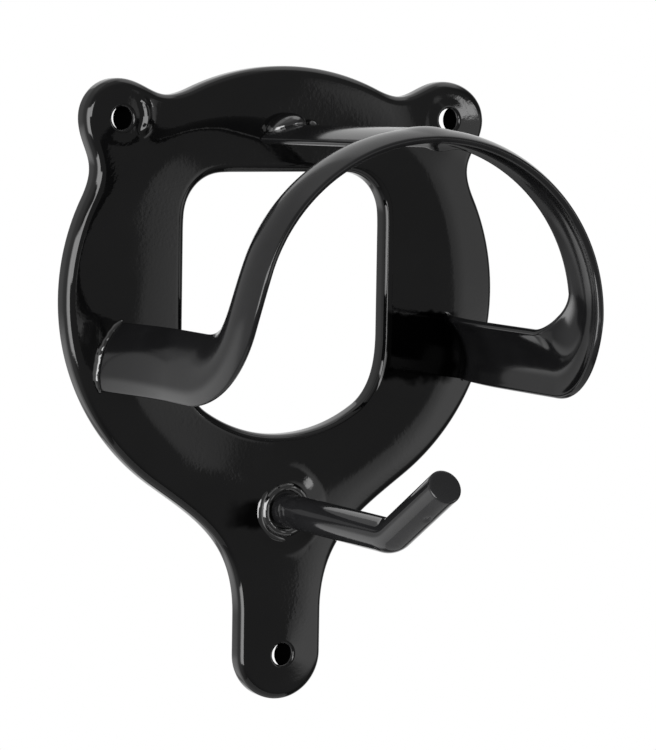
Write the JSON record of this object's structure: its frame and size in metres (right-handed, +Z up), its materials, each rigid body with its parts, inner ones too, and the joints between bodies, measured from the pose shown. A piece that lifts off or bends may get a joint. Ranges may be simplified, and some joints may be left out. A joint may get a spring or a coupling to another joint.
{
  "type": "bridle rack",
  "caption": "Wall-mounted bridle rack: a pressed ring plate with a bridle arch welded to its face and a round-bar rein hook below, in gloss black coated steel.",
  "frame": {"origin": "on the wall face, halfway between the two upper screw holes", "axes": "+X to the right seen from the front, +Y into the wall, so the front is towards -Y, and +Z up"},
  "size_m": [0.171, 0.1209, 0.225],
  "materials": {
    "coated_sheet": "gloss",
    "coated_bar": "gloss",
    "coated_weld": "gloss"
  },
  "bodies": {
    "root": {"back_plate": "coated_sheet", "bridle_arch": "coated_sheet", "rein_hook": "coated_bar", "left_leg_weld": "coated_weld", "right_leg_weld": "coated_weld", "strap_weld": "coated_weld", "strap_tack": "coated_weld", "hook_weld": "coated_weld"}
  },
  "joints": []
}
